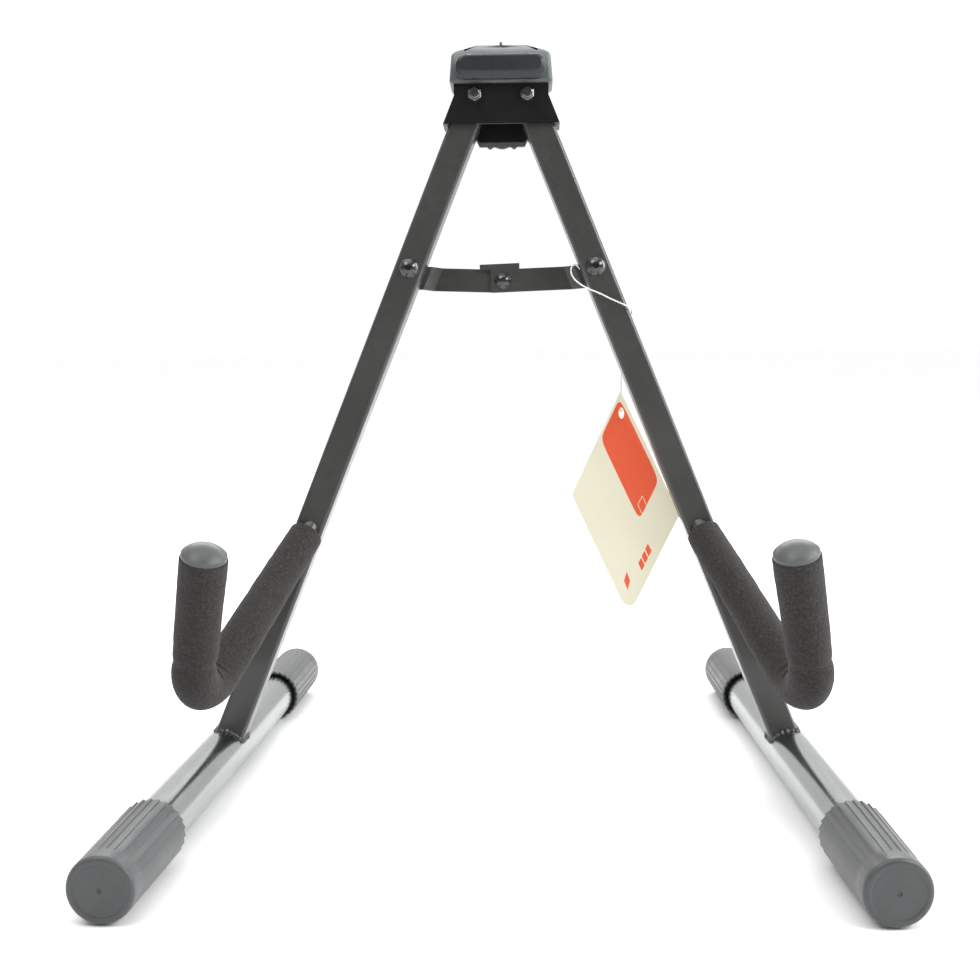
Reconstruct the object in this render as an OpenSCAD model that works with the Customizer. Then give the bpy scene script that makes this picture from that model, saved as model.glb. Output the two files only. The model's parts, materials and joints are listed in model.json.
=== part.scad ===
/* [Frame] */
// Lean of the leg plane away from upright, top towards the back
lean = 5; // [0:0.5:12]
// Angle between each open leg and the middle line
open_angle = 21.6; // [15:0.1:28]
// Length of a leg from its pivot bolt to the axis of its base tube
leg_len = 391.7; // [280:0.5:520]
// Distance between the middle line and each pivot bolt
pivot_x = 14.5; // [13:0.5:22]
// Outer width and depth of the square leg tube
leg_w = 16; // [14:0.5:20]
// Wall of the leg tube
leg_wall = 1.2; // [1:0.1:2]
// Outer corner radius of the leg tube
leg_corner = 2; // [1.5:0.1:3]
// Length of leg above the pivot bolt
leg_top = 10; // [8:0.5:11]
// Distance from the middle of the base tubes back to the leg axis
leg_back = 6; // [0:0.5:20]

/* [Base] */
// Outside diameter of a base tube
tube_d = 25.4; // [19:0.1:32]
// Wall of a base tube
tube_wall = 1.2; // [1:0.1:2]
// Length of a base tube
tube_len = 386; // [260:1:520]
// Turn of each base tube, front ends outwards
splay = 2.6; // [0:0.1:6]
// Length of a rubber end cap
cap_len = 73; // [40:1:90]
// Thickness of the closed end of an end cap
cap_end = 5; // [3:0.5:8]
// Rubber around the tube at the closed end
cap_wall_end = 2.5; // [2:0.1:4]
// Rubber around the tube at the mouth
cap_wall_mouth = 3.3; // [2.6:0.1:5]
// Rounding of the closed end
cap_round = 2.2; // [0.5:0.1:2.4]
// Depth of the relief inside the mouth
cap_relief = 6; // [2:0.5:12]
// Height of the worn flat where a cap meets the floor
cap_flat = 0.2; // [0.1:0.05:0.5]

/* [Cradle arms] */
// Diameter of the bent steel rod
rod_d = 10; // [8:0.5:12]
// Distance down the leg from its pivot to the rod's weld
root_down = 260; // [200:1:300]
// Outward shift from weld to the corner of the arm
arm_out = 46; // [20:1:60]
// Forward reach from weld to the corner of the arm
arm_reach = 92; // [60:1:130]
// Drop from weld to the corner of the arm
arm_drop = 81; // [50:1:95]
// Inward shift of the tip from the corner
tip_in = 16.5; // [0:1:30]
// Forward shift of the tip from the corner
tip_forward = 27; // [0:1:60]
// Rise of the tip above the corner
tip_rise = 87; // [60:1:120]
// Bend radius of the rod
arm_bend = 20; // [16:0.5:26]
// Foam radius where the sleeve leaves the leg
foam_r_root = 9.4; // [7:0.1:11]
// Foam radius around the bend
foam_r_bend = 11; // [9:0.1:13]
// Foam radius at the tip
foam_r_tip = 11.7; // [9:0.1:14]
// Radius of the domed cap on the tip
tip_cap_r = 11; // [9:0.1:13]
// Height of the dome
tip_dome = 5; // [3:0.1:7]
// Straight edge under the dome
tip_edge = 2; // [1:0.1:4]
// Depth of the cap's collar inside the foam
collar_len = 12; // [6:0.5:20]
// Wall of the cap's collar
collar_wall = 2; // [1:0.1:3]

/* [Head] */
// Thickness of the folded head bracket
plate = 2; // [1.5:0.1:2.5]
// Play between each leg and the bracket's plates
side_play = 0.35; // [0.2:0.05:0.5]
// Play between an open leg and its side flange
stop_play = 0.8; // [0.3:0.1:1.5]
// Front plate below the pivot bolts
front_drop = 15.7; // [10:0.1:22]
// Rear plate below the pivot bolts
rear_drop = 21.8; // [14:0.1:26]
// Bracket above the pivot bolts
bracket_rise = 21; // [16:0.5:28]
// Half width of the rear plate's lower edge
rear_foot = 12.8; // [8:0.1:18]
// Rubber wall of the saddle cover
cover_wall = 2.4; // [2:0.1:3]
// Lower front edge of the cover above the pivot bolts
cover_edge = 6.2; // [3:0.1:9]
// Extra rise of the cover's crown above its shoulders
cover_crown = 8; // [3:0.1:10]
// Length of the cover's rear tongue past the rear plate
tongue_over = 2.4; // [1:0.1:5]
// Length of the front bumper pad
pad_len = 50; // [36:0.5:52]
// Height of the front bumper pad
pad_h = 13.6; // [9:0.1:15]
// Thickness of the front bumper pad
pad_t = 5; // [3:0.1:8]

/* [Fasteners] */
// Diameter of the pivot bolts
pivot_d = 4; // [3:0.5:5]
// Diameter of the brace bolts
bolt_d = 5; // [4:0.5:6]
// Running clearance around a bolt, on the radius
run_fit = 0.05; // [0.02:0.01:0.1]
// Distance across the flats of a pivot nut
pivot_af = 7; // [7:0.5:9]
// Height of a pivot nut
pivot_nut_h = 3.2; // [2.5:0.1:5]
// Radius of a pivot washer
washer_r = 4; // [3.8:0.1:5]
// Thickness of a pivot washer
washer_t = 0.8; // [0.5:0.1:1.2]
// Pivot bolt end standing past its nut
pivot_tail = 4; // [1:0.1:6]
// Height of a pivot bolt's head
head_h = 2.8; // [2.5:0.1:4]
// Distance across the flats of a brace nut
nut_af = 8; // [7:0.5:10]
// Height of a brace nut
nut_h = 4; // [3:0.1:5]
// Brace bolt end standing past its nut
bolt_tail = 1.5; // [1:0.1:5]
// Radius of a brace bolt's domed head
button_r = 5.6; // [5:0.1:7]
// Height of a brace bolt's domed head
button_h = 3; // [2:0.1:4]
// Width across the flats of the brace bolt's socket
socket_af = 3; // [2.5:0.1:4]

/* [Brace] */
// Distance down the leg from its pivot to the brace bolt
brace_down = 101.4; // [70:0.1:130]
// Drop of the middle rivet below the brace bolts
brace_sag = 5.2; // [3:0.1:7]
// Height of a brace link
link_h = 13; // [10:0.5:16]
// Thickness of a brace link
link_t = 2; // [1.5:0.1:2.4]
// Play between stacked brace parts
link_play = 0.3; // [0.2:0.05:0.5]
// Height of the bolt hole above the link's middle line
link_offset = 3.4; // [0:0.1:4]
// Radius of the link's end around its bolt
link_eye = 6; // [5:0.1:8]
// Start of the jog, measured from the bolt
jog_start = 10; // [8:0.5:14]
// Length of the jog
jog_len = 5.5; // [4:0.5:8]
// Step of the jog towards the back
jog_step = 3; // [2:0.1:5]
// Right link beyond the middle rivet
right_over = 6.7; // [6:0.1:9]
// Stop tab to the left of the rivet
tab_left = 12.9; // [10:0.1:16]
// Stop tab to the right of the rivet
tab_right = 9.6; // [6:0.1:14]
// Start of the stop tab's lip to the left of the rivet
lip_start = 4.8; // [4.5:0.1:6]
// Space between the stop tab and the left link's edge
tab_play = 0.3; // [0.2:0.05:0.6]
// Radius of the middle rivet's head
rivet_r = 4.8; // [4:0.1:6]
// Height of the middle rivet's head
rivet_h = 2.6; // [1.5:0.1:3.5]

/* [Hang tag] */
// Length of the tag's long diagonal
tag_long = 130; // [80:1:150]
// Length of the tag's short diagonal
tag_short = 64; // [40:1:80]
// Drop of the right corner below the middle of the long diagonal
tag_skew = 5.9; // [0:0.1:10]
// Corner radius of the tag
tag_round = 5; // [2:0.5:8]
// Thickness of the tag
tag_t = 0.8; // [0.5:0.1:1.5]
// Turn of the tag on its string
tag_turn = 20; // [0:1:30]
// Tilt of the tag in its own plane, lower corner to the right
tag_tilt = 2.3; // [0:0.1:6]
// Hole radius of the tag
tag_hole_r = 2.6; // [1.5:0.1:4]
// Hole centre below the tag's top corner
tag_hole_down = 12.4; // [8:0.1:16]
// Diameter of the string
string_d = 0.8; // [0.6:0.1:1.5]

/* [Hidden] */
$fn = 48;
hull_fn = 24;
foam_sides = 16;
string_sides = 8;
eps = 0.01;
far = 200;

// Base: the widest part of an end cap touches the floor along a small flat.
tube_r = tube_d / 2;
mouth_r = tube_r + cap_wall_mouth;
end_r = tube_r + cap_wall_end;
tube_z = mouth_r - cap_flat;

// Legs, in the leaning frame whose origin is where the leg plane crosses the tube axes.
pivot_z = leg_len * cos(open_angle);
foot_x = pivot_x + leg_len * sin(open_angle);
half_leg = leg_w / 2;
bolt_r = bolt_d / 2;
pivot_r = pivot_d / 2;

// Head.
plate_in = half_leg + side_play;
plate_out = plate_in + plate;
flange_in = half_leg + stop_play;
waist_x = pivot_x + (flange_in + plate) / cos(open_angle);
plate_step = 0.25;
plate_mid = plate_in + plate / 2;
front_foot = waist_x - plate_step + front_drop * tan(open_angle);
cover_x = waist_x + cover_wall;
cover_y = plate_out + cover_wall;
cover_top = bracket_rise + cover_wall;
pad_z = cover_edge + 1 + pad_h / 2;
flange_lap = 1;
waist_z = 0.4;

// Brace: the rivet is the point where the two links meet.
brace_x = pivot_x + brace_down * sin(open_angle);
brace_z = pivot_z - brace_down * cos(open_angle);
link_len = norm([brace_x, brace_sag]);
link_angle = atan2(brace_sag, brace_x);
link_slope = asin(link_offset / link_len);
link_y = half_leg + link_play;
right_mid_y = link_y + jog_step;
left_mid_y = right_mid_y + link_t + link_play;
kink = 2 * (link_angle - link_slope);
link_edge = 0.1;
left_over = -3;
tab_set = 0.2;
tab_low = link_h / 2 * cos(kink) + tab_left * sin(kink) + tab_play;

// Cradle arm: straight from the weld to a corner, a bend, and straight up to the tip.
root_p = leg_point(root_down, half_leg);
corner_p = root_p + [arm_out, -arm_reach, -arm_drop];
tip_p = corner_p + [-tip_in, -tip_forward, tip_rise];
to_root = unit(root_p - corner_p);
to_tip = unit(tip_p - corner_p);
half_turn = acos(to_root * to_tip) / 2;
tangent_len = arm_bend / tan(half_turn);
bend_in = corner_p + tangent_len * to_root;
bend_out = corner_p + tangent_len * to_tip;
bend_c = corner_p + arm_bend / sin(half_turn) * unit(to_root + to_tip);
bend_x = unit(bend_in - bend_c);
bend_turn = 180 - 2 * half_turn;
root_len = norm(root_p - bend_in) + half_leg;
tip_len = norm(tip_p - bend_out);
bend_run = 2;
bend_thin = 0.05;
foam_steps = 6;
foam_path = [
    for (i = [0:foam_steps]) let (t = i / foam_steps) root_p + t * (bend_in - root_p),
    for (i = [1:foam_steps]) let (a = bend_turn * i / (foam_steps + 1))
        bend_c + arm_bend * (cos(a) * bend_x - sin(a) * to_root),
    for (i = [0:foam_steps]) let (t = i / foam_steps) bend_out + t * (tip_p - bend_out)
];
foam_radii = [
    for (i = [0:foam_steps]) foam_r_root + i / foam_steps * (foam_r_bend - foam_r_root),
    for (i = [1:foam_steps]) foam_r_bend,
    for (i = [0:foam_steps]) foam_r_bend + i / foam_steps * (foam_r_tip - foam_r_bend)
];

// String, from a loop beside the brace, across the right leg, round it and down to the tag.
string_points = [
    [43, 27, 284], [41.6, 26, 285.8], [39.6, 24.8, 286.5], [38.2, 23.5, 284.5], [38.2, 22.3, 281.5],
    [39.8, 21.1, 278.5], [43, 20, 275.6], [47.5, 19, 273], [54, 18.3, 270.2], [60, 18.1, 267.2],
    [65.4, 17.5, 264.8], [68.8, 17.9, 263.2], [71.2, 20.2, 261.6], [71.8, 25, 260.2], [71.8, 31, 258.6],
    [71.2, 36.2, 256.6], [70.2, 38.8, 253], [69, 39.4, 248], [68.2, 39.6, 242], [67.6, 39.6, 234],
    [67.2, 39.6, 225], [67, 39.8, 215.5], [66.9, 39.9, 208], [66.9, 40.4, 204.8]
];
tag_top = [66.5, 39, 215.5];

function unit(v) = v / norm(v);

// A point or direction on the right (side 1) or its mirror image on the left (side -1).
function across(p, side) = [side * p.x, p.y, p.z];

// A point in the leaning frame, in the object's own frame.
function leaned(p) = [p.x, leg_back + p.y * cos(lean) + p.z * sin(lean), tube_z - p.y * sin(lean) + p.z * cos(lean)];

// A point on the right leg's axis, moved forward out of the leg plane.
function leg_point(down, forward) =
    leaned([pivot_x + down * sin(open_angle), -forward, pivot_z - down * cos(open_angle)]);

module in_lean() {
    translate([0, leg_back, tube_z]) rotate([-lean, 0, 0]) children();
}

module on_right_leg() {
    in_lean() translate([pivot_x, 0, pivot_z]) rotate([0, -open_angle, 0]) children();
}

module on_left_side() {
    mirror([1, 0, 0]) children();
}

module on_right_tube() {
    lift = leg_back / cos(splay);
    translate([foot_x + lift * sin(splay), 0, tube_z]) rotate([0, 0, splay]) rotate([90, 0, 0]) children();
}

// A round bar of two radii between two points.
module bar(p, q, r1, r2) {
    d = q - p;
    translate(p) rotate([0, acos(d.z / norm(d)), atan2(d.y, d.x)]) cylinder(h = norm(d), r1 = r1, r2 = r2);
}

module frame_at(c, ex, ey) {
    ez = cross(ex, ey);
    multmatrix([
        [ex.x, ey.x, ez.x, c.x],
        [ex.y, ey.y, ez.y, c.y],
        [ex.z, ey.z, ez.z, c.z],
        [0, 0, 0, 1]
    ]) children();
}

module rounded_square(size, r) {
    inner = size / 2 - r;
    square([size, 2 * inner], center = true);
    square([2 * inner, size], center = true);
    for (x = [-inner, inner], y = [-inner, inner]) translate([x, y]) circle(r);
}

// A hole or pin from front to back at the current place.
module cross_pin(r, y0, y1) {
    translate([0, y0, 0]) rotate([-90, 0, 0]) cylinder(h = y1 - y0, r = r);
}

module hex_prism(af, y0, y1) {
    translate([0, y0, 0]) rotate([-90, 30, 0]) cylinder(h = y1 - y0, r = af / sqrt(3), $fn = 6);
}

// Half of a flattened dome that rises towards the front from the plane y0.
module dome(r, h, y0) {
    ball = (r * r + h * h) / (2 * h);
    translate([0, y0, 0]) rotate([90, 0, 0]) rotate_extrude() intersection() {
        translate([0, h - ball]) circle(ball);
        square([r, h]);
    }
}

module leg_outside() {
    translate([0, 0, -leg_len]) linear_extrude(leg_len + leg_top) rounded_square(leg_w, leg_corner);
}

module leg_shape() {
    difference() {
        on_right_leg() difference() {
            leg_outside();
            translate([0, 0, -leg_len - eps]) linear_extrude(leg_len + leg_top + 2 * eps)
                rounded_square(leg_w - 2 * leg_wall, leg_corner - leg_wall);
            cross_pin(pivot_r + run_fit, -leg_w, leg_w);
            translate([0, 0, -brace_down]) cross_pin(bolt_r, -leg_w, leg_w);
        }
        on_right_tube() cylinder(h = 4 * leg_w, r = tube_r, center = true);
    }
}

module base_tube_shape() {
    on_right_tube() difference() {
        cylinder(h = tube_len, r = tube_r, center = true);
        cylinder(h = tube_len + 2 * eps, r = tube_r - tube_wall, center = true);
    }
}

// An end cap with its closed end at z = 0 and its mouth at z = cap_len.
module end_cap() {
    rotate_extrude() difference() {
        union() {
            polygon([[0, 0], [end_r - cap_round, 0], [end_r, cap_round], [mouth_r, cap_len], [0, cap_len]]);
            translate([end_r - cap_round, cap_round]) circle(cap_round);
        }
        translate([-far, -far]) square([far, 2 * far]);
        translate([0, cap_end]) square([tube_r, cap_len]);
        translate([0, cap_len - cap_relief]) square([(tube_r + mouth_r) / 2, cap_relief + eps]);
    }
}

module cap_shape(front) {
    difference() {
        on_right_tube() mirror([0, 0, front ? 0 : 1]) translate([0, 0, tube_len / 2 + cap_end])
            mirror([0, 0, 1]) end_cap();
        translate([-far * 2, -far * 2, -far]) cube([far * 4, far * 4, far]);
    }
}

// The arm's own frame: the bend's centre, +x to where the bend starts, +y on towards the tip.
// The bend is a hair thinner than the straight parts and runs into them.
module arm_steel(side) {
    r = rod_d / 2;
    frame_at(across(bend_c, side), across(bend_x, side), -across(to_root, side)) {
        translate([arm_bend, 0, 0]) rotate([90, 0, 0]) cylinder(h = root_len, r = r);
        rotate([0, 0, -bend_run]) rotate_extrude(angle = bend_turn + 2 * bend_run)
            translate([arm_bend, 0]) circle(r - bend_thin);
        rotate([0, 0, bend_turn]) translate([arm_bend, 0, 0]) rotate([-90, 0, 0])
            cylinder(h = tip_len, r = r);
    }
}

module left_arm_rod() {
    color([0.2, 0.2, 0.2]) difference() {
        arm_steel(-1);
        on_left_side() on_right_leg() leg_outside();
    }
}

module right_arm_rod() {
    color([0.2, 0.2, 0.2]) difference() {
        arm_steel(1);
        on_right_leg() leg_outside();
    }
}

module tip_collar(r) {
    bar(tip_p - collar_len * to_tip, tip_p + eps * to_tip, r, r);
}

module foam_shape() {
    steel_r = rod_d / 2;
    difference() {
        swept(foam_path, foam_radii, foam_sides);
        swept(foam_path, [for (p = foam_path) steel_r / cos(180 / foam_sides)], foam_sides);
        tip_collar(steel_r + collar_wall);
        on_right_leg() leg_outside();
    }
}

module arm_cap_shape() {
    ball = (tip_cap_r * tip_cap_r + tip_dome * tip_dome) / (2 * tip_dome);
    difference() {
        union() {
            tip_collar(rod_d / 2 + collar_wall);
            bar(tip_p, tip_p + tip_edge * to_tip, tip_cap_r, tip_cap_r);
            translate(tip_p + tip_edge * to_tip)
                rotate([0, acos(to_tip.z), atan2(to_tip.y, to_tip.x)])
                rotate_extrude() intersection() {
                    translate([0, tip_dome - ball]) circle(ball);
                    square([tip_cap_r, tip_dome]);
                }
        }
        bar(bend_out, tip_p, rod_d / 2, rod_d / 2);
    }
}

module at_pivots() {
    in_lean() for (s = [-1, 1]) translate([s * pivot_x, 0, pivot_z]) children();
}

module head_bracket() {
    color([0.12, 0.11, 0.13]) difference() {
        in_lean() translate([0, 0, pivot_z]) {
            // Front plate.
            translate([0, -plate_in, 0]) rotate([90, 0, 0]) linear_extrude(plate) polygon([
                [-front_foot, -front_drop], [front_foot, -front_drop], [waist_x - 2 * plate_step, waist_z],
                [waist_x, waist_z], [waist_x, bracket_rise], [-waist_x, bracket_rise], [-waist_x, waist_z],
                [-waist_x + 2 * plate_step, waist_z]
            ]);
            // Rear plate.
            translate([0, plate_out, 0]) rotate([90, 0, 0]) linear_extrude(plate) polygon([
                [-rear_foot, -rear_drop], [rear_foot, -rear_drop], [waist_x, -rear_drop / 3],
                [waist_x, bracket_rise], [-waist_x, bracket_rise], [-waist_x, -rear_drop / 3]
            ]);
            // Top web.
            translate([-waist_x, -plate_out, bracket_rise - plate]) cube([2 * waist_x, 2 * plate_out, plate]);
            // Side flanges, each parallel to the outer face of its open leg.
            for (s = [0, 1]) mirror([s, 0, 0]) intersection() {
                translate([pivot_x, 0, 0]) rotate([0, -open_angle, 0])
                    translate([flange_in, -plate_mid, -far]) cube([plate, 2 * plate_mid, 2 * far]);
                translate([0, -plate_out, plate_step - front_drop])
                    cube([far, 2 * plate_out, front_drop - plate_step + flange_lap]);
            }
        }
        at_pivots() cross_pin(pivot_r, -far, far);
    }
}

module saddle_cover() {
    color([0.42, 0.45, 0.46]) in_lean() translate([0, 0, pivot_z]) difference() {
        union() {
            hull() {
                for (x = [-1, 1], y = [-1, 1]) {
                    translate([x * (cover_x - 2), y * (cover_y - 2), cover_edge])
                        cylinder(h = eps, r = 2, $fn = hull_fn);
                    translate([x * (cover_x - 6), y * (cover_y - 5), cover_top - 4])
                        sphere(r = 4, $fn = hull_fn);
                    translate([x * cover_x / 2, y * (cover_y - 8), cover_top - 4 + cover_crown - 2])
                        sphere(r = 4, $fn = hull_fn);
                }
            }
            // Rear tongue over the rear plate.
            translate([0, cover_y, 0]) rotate([90, 0, 0]) linear_extrude(cover_wall) polygon([
                [-rear_foot, -rear_drop - tongue_over], [rear_foot, -rear_drop - tongue_over],
                [cover_x - 5, -2], [cover_x - 5, cover_edge + 1], [-cover_x + 5, cover_edge + 1],
                [-cover_x + 5, -2]
            ]);
        }
        translate([-waist_x, -plate_out, -far]) cube([2 * waist_x, 2 * plate_out, far + bracket_rise]);
        for (s = [-1, 1]) translate([s * pivot_x, 0, 0]) cross_pin(washer_r + 1, 0, far);
    }
}

module bumper_pad() {
    color([0.3, 0.32, 0.33]) in_lean() translate([0, -cover_y, pivot_z + pad_z])
        rotate([90, 0, 0]) linear_extrude(pad_t) {
            square([pad_len - pad_h, pad_h], center = true);
            for (x = [-1, 1]) translate([x * (pad_len - pad_h) / 2, 0]) circle(pad_h / 2);
        }
}

module pivot_bolts() {
    color([0.35, 0.35, 0.36]) at_pivots() {
        cross_pin(pivot_r, -plate_out - washer_t - pivot_nut_h - pivot_tail, plate_out + eps);
        hex_prism(pivot_af, plate_out, plate_out + head_h);
    }
}

module pivot_washers() {
    color([0.5, 0.5, 0.5]) at_pivots() difference() {
        cross_pin(washer_r, -plate_out - washer_t, -plate_out);
        cross_pin(pivot_r, -far, far);
    }
}

module pivot_nuts() {
    color([0.5, 0.5, 0.5]) at_pivots() difference() {
        hex_prism(pivot_af, -plate_out - washer_t - pivot_nut_h, -plate_out - washer_t);
        cross_pin(pivot_r, -far, far);
    }
}

module brace_bolt_shape() {
    on_right_leg() translate([0, 0, -brace_down]) difference() {
        union() {
            dome(button_r, button_h, -half_leg);
            cross_pin(bolt_r, -half_leg - eps, link_y + link_t + link_play + nut_h + bolt_tail);
        }
        hex_prism(socket_af, -half_leg - button_h - eps, -half_leg - button_h + 1.8);
    }
}

module brace_nut_shape() {
    nut_y = link_y + link_t + link_play;
    on_right_leg() translate([0, 0, -brace_down]) difference() {
        hex_prism(nut_af, nut_y, nut_y + nut_h);
        cross_pin(bolt_r, 0, far);
    }
}

// A brace link seen from its bolt at the origin, running along +x to the rivet.
module link_plate(mid_y, over) {
    step = mid_y - link_y;
    slant = step / jog_len * link_t / 2;
    difference() {
        intersection() {
            rotate([90, 0, 0]) linear_extrude(far, center = true) union() {
                circle(link_eye);
                rotate(link_slope) translate([0, -link_offset - link_h / 2])
                    square([link_len + over, link_h]);
                if (over < 0) translate([link_len, 0]) circle(link_h / 2 - link_edge);
            }
            rotate([0, open_angle - link_angle, 0]) linear_extrude(far, center = true) polygon([
                [-far, link_y], [jog_start, link_y], [jog_start + jog_len, mid_y], [far, mid_y],
                [far, mid_y + link_t], [jog_start + jog_len - slant, mid_y + link_t],
                [jog_start - slant, link_y + link_t], [-far, link_y + link_t]
            ]);
        }
        cross_pin(bolt_r + run_fit, 0, far);
        translate([link_len, 0, 0]) cross_pin(bolt_r, 0, far);
    }
}

// The left bolt of the brace, with +x along the left link to the rivet.
module on_left_link() {
    in_lean() translate([-brace_x, 0, brace_z]) rotate([0, link_angle, 0]) children();
}

module on_right_link() {
    on_left_side() on_left_link() children();
}

module left_brace_link() {
    color([0.2, 0.2, 0.21]) on_left_link() link_plate(left_mid_y, left_over);
}

module right_brace_link() {
    color([0.2, 0.2, 0.21]) on_right_link() {
        link_plate(right_mid_y, right_over);
        translate([link_len, 0, 0]) rotate([0, -link_slope, 0]) {
            difference() {
                translate([-tab_right, right_mid_y, link_h / 2 - 1])
                    cube([tab_right + tab_left, link_t, tab_low + link_t - link_h / 2 + 1]);
                translate([right_over, 0, 0]) cube([far, far, tab_low - 1]);
            }
            translate([lip_start, right_mid_y + tab_set, tab_low])
                cube([tab_left - lip_start - tab_set, 2 * link_t + link_play + 1.3, link_t - tab_set]);
        }
    }
}

module brace_rivet() {
    color([0.3, 0.3, 0.3]) on_right_link() translate([link_len, 0, 0]) {
        dome(rivet_r, rivet_h, right_mid_y);
        cross_pin(bolt_r, right_mid_y - eps, right_mid_y + link_t);
    }
}

module brace_rivet_tail() {
    color([0.3, 0.3, 0.3]) on_left_link() translate([link_len, 0, 0]) {
        cross_pin(bolt_r, left_mid_y, left_mid_y + link_t + eps);
        mirror([0, 1, 0]) dome(rivet_r - 0.8, rivet_h - 0.8, -left_mid_y - link_t);
    }
}

// A tube with a radius for each point of its path.
module swept(points, radii, sides) {
    n = len(points);
    dirs = [for (i = [0:n - 1]) unit(points[min(i + 1, n - 1)] - points[max(i - 1, 0)])];
    rings = [for (i = [0:n - 1]) let (
        a = unit(cross(dirs[i], abs(dirs[i].z) > 0.9 ? [1, 0, 0] : [0, 0, 1])),
        b = cross(dirs[i], a)
    ) for (k = [0:sides - 1]) points[i] + radii[i] * (cos(k * 360 / sides) * a + sin(k * 360 / sides) * b)];
    polyhedron(points = rings, faces = concat(
        [[for (k = [0:sides - 1]) k]],
        [[for (k = [0:sides - 1]) (n - 1) * sides + sides - 1 - k]],
        [for (i = [0:n - 2], k = [0:sides - 1]) let (j = (k + 1) % sides)
            [i * sides + j, i * sides + k, (i + 1) * sides + k, (i + 1) * sides + j]]
    ));
}

module tag_string() {
    color([0.95, 0.95, 0.93]) swept(string_points, [for (p = string_points) string_d / 2], string_sides);
}

// One corner of a flat outline, rounded: where its edges end, and the centre of its arc.
function rounded_corner(p, before, after, r) = let (
    u = unit(before - p),
    v = unit(after - p),
    half = acos(u * v) / 2
) [p + r / tan(half) * u, p + r / tan(half) * v, p + r / sin(half) * unit(u + v)];

// The flat outline of the tag: four corners, the left and the lower one rounded.
module tag_outline() {
    top = [0, 0];
    left = [-tag_short / 2, tag_skew - tag_long / 2];
    low = [0, -tag_long];
    right = [tag_short / 2, -tag_skew - tag_long / 2];
    left_arc = rounded_corner(left, top, low, tag_round);
    low_arc = rounded_corner(low, left, right, tag_round);
    polygon([top, left_arc[0], left_arc[1], low_arc[0], low_arc[1], right]);
    translate(left_arc[2]) circle(tag_round);
    translate(low_arc[2]) circle(tag_round);
}

module hang_tag() {
    color([0.97, 0.94, 0.86]) translate(tag_top) rotate([0, -tag_tilt, -tag_turn]) difference() {
        rotate([90, 0, 0]) linear_extrude(tag_t, center = true) tag_outline();
        translate([0, 0, -tag_hole_down]) cross_pin(tag_hole_r, -far, far);
    }
}

module left_leg() {
    color([0.3, 0.3, 0.3]) on_left_side() leg_shape();
}

module right_leg() {
    color([0.3, 0.3, 0.3]) leg_shape();
}

module left_base_tube() {
    color([0.8, 0.81, 0.82]) on_left_side() base_tube_shape();
}

module right_base_tube() {
    color([0.8, 0.81, 0.82]) base_tube_shape();
}

module left_front_cap() {
    color([0.35, 0.36, 0.38]) on_left_side() cap_shape(true);
}

module right_front_cap() {
    color([0.35, 0.36, 0.38]) cap_shape(true);
}

module left_rear_cap() {
    color([0.35, 0.36, 0.38]) on_left_side() cap_shape(false);
}

module right_rear_cap() {
    color([0.35, 0.36, 0.38]) cap_shape(false);
}

module left_foam_sleeve() {
    color([0.26, 0.24, 0.23]) on_left_side() foam_shape();
}

module right_foam_sleeve() {
    color([0.26, 0.24, 0.23]) foam_shape();
}

module left_arm_cap() {
    color([0.4, 0.42, 0.42]) on_left_side() arm_cap_shape();
}

module right_arm_cap() {
    color([0.4, 0.42, 0.42]) arm_cap_shape();
}

module left_brace_bolt() {
    color([0.15, 0.15, 0.15]) on_left_side() brace_bolt_shape();
}

module right_brace_bolt() {
    color([0.15, 0.15, 0.15]) brace_bolt_shape();
}

module left_brace_nut() {
    color([0.4, 0.4, 0.4]) on_left_side() brace_nut_shape();
}

module right_brace_nut() {
    color([0.4, 0.4, 0.4]) brace_nut_shape();
}

head_bracket();
saddle_cover();
bumper_pad();
pivot_bolts();
pivot_nuts();
pivot_washers();
left_leg();
right_leg();
left_base_tube();
right_base_tube();
left_front_cap();
left_rear_cap();
right_front_cap();
right_rear_cap();
left_arm_rod();
right_arm_rod();
left_foam_sleeve();
right_foam_sleeve();
left_arm_cap();
right_arm_cap();
left_brace_bolt();
right_brace_bolt();
left_brace_nut();
right_brace_nut();
left_brace_link();
right_brace_link();
brace_rivet();
brace_rivet_tail();
tag_string();
hang_tag();
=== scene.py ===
import json
import math

import bmesh
import bpy
from bpy.props import FloatProperty, FloatVectorProperty, IntProperty, PointerProperty
from mathutils import Euler, Matrix, Vector, noise


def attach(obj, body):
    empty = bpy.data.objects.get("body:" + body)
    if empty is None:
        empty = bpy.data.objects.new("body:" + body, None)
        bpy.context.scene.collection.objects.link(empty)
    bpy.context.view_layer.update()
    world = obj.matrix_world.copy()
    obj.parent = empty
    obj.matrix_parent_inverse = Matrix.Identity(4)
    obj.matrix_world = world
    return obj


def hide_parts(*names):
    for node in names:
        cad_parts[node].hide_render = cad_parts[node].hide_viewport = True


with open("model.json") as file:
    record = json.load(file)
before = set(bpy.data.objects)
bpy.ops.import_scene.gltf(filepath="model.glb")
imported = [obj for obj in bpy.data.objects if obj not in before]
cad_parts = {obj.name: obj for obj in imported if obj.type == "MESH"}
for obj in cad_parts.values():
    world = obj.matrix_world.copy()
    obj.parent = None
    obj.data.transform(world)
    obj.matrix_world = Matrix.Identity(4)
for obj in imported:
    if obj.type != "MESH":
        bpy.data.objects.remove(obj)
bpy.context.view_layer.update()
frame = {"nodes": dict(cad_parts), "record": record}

bl_info = {
    "name": "Folding Guitar Stand",
    "version": (1, 0, 0),
    "blender": (4, 5, 0),
    "location": "3D Viewport > Sidebar > Guitar Stand",
    "description": "Models the soft parts, fittings and finishes of a folding guitar stand on its packed frame",
    "category": "Object",
}

MM = 0.001

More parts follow.
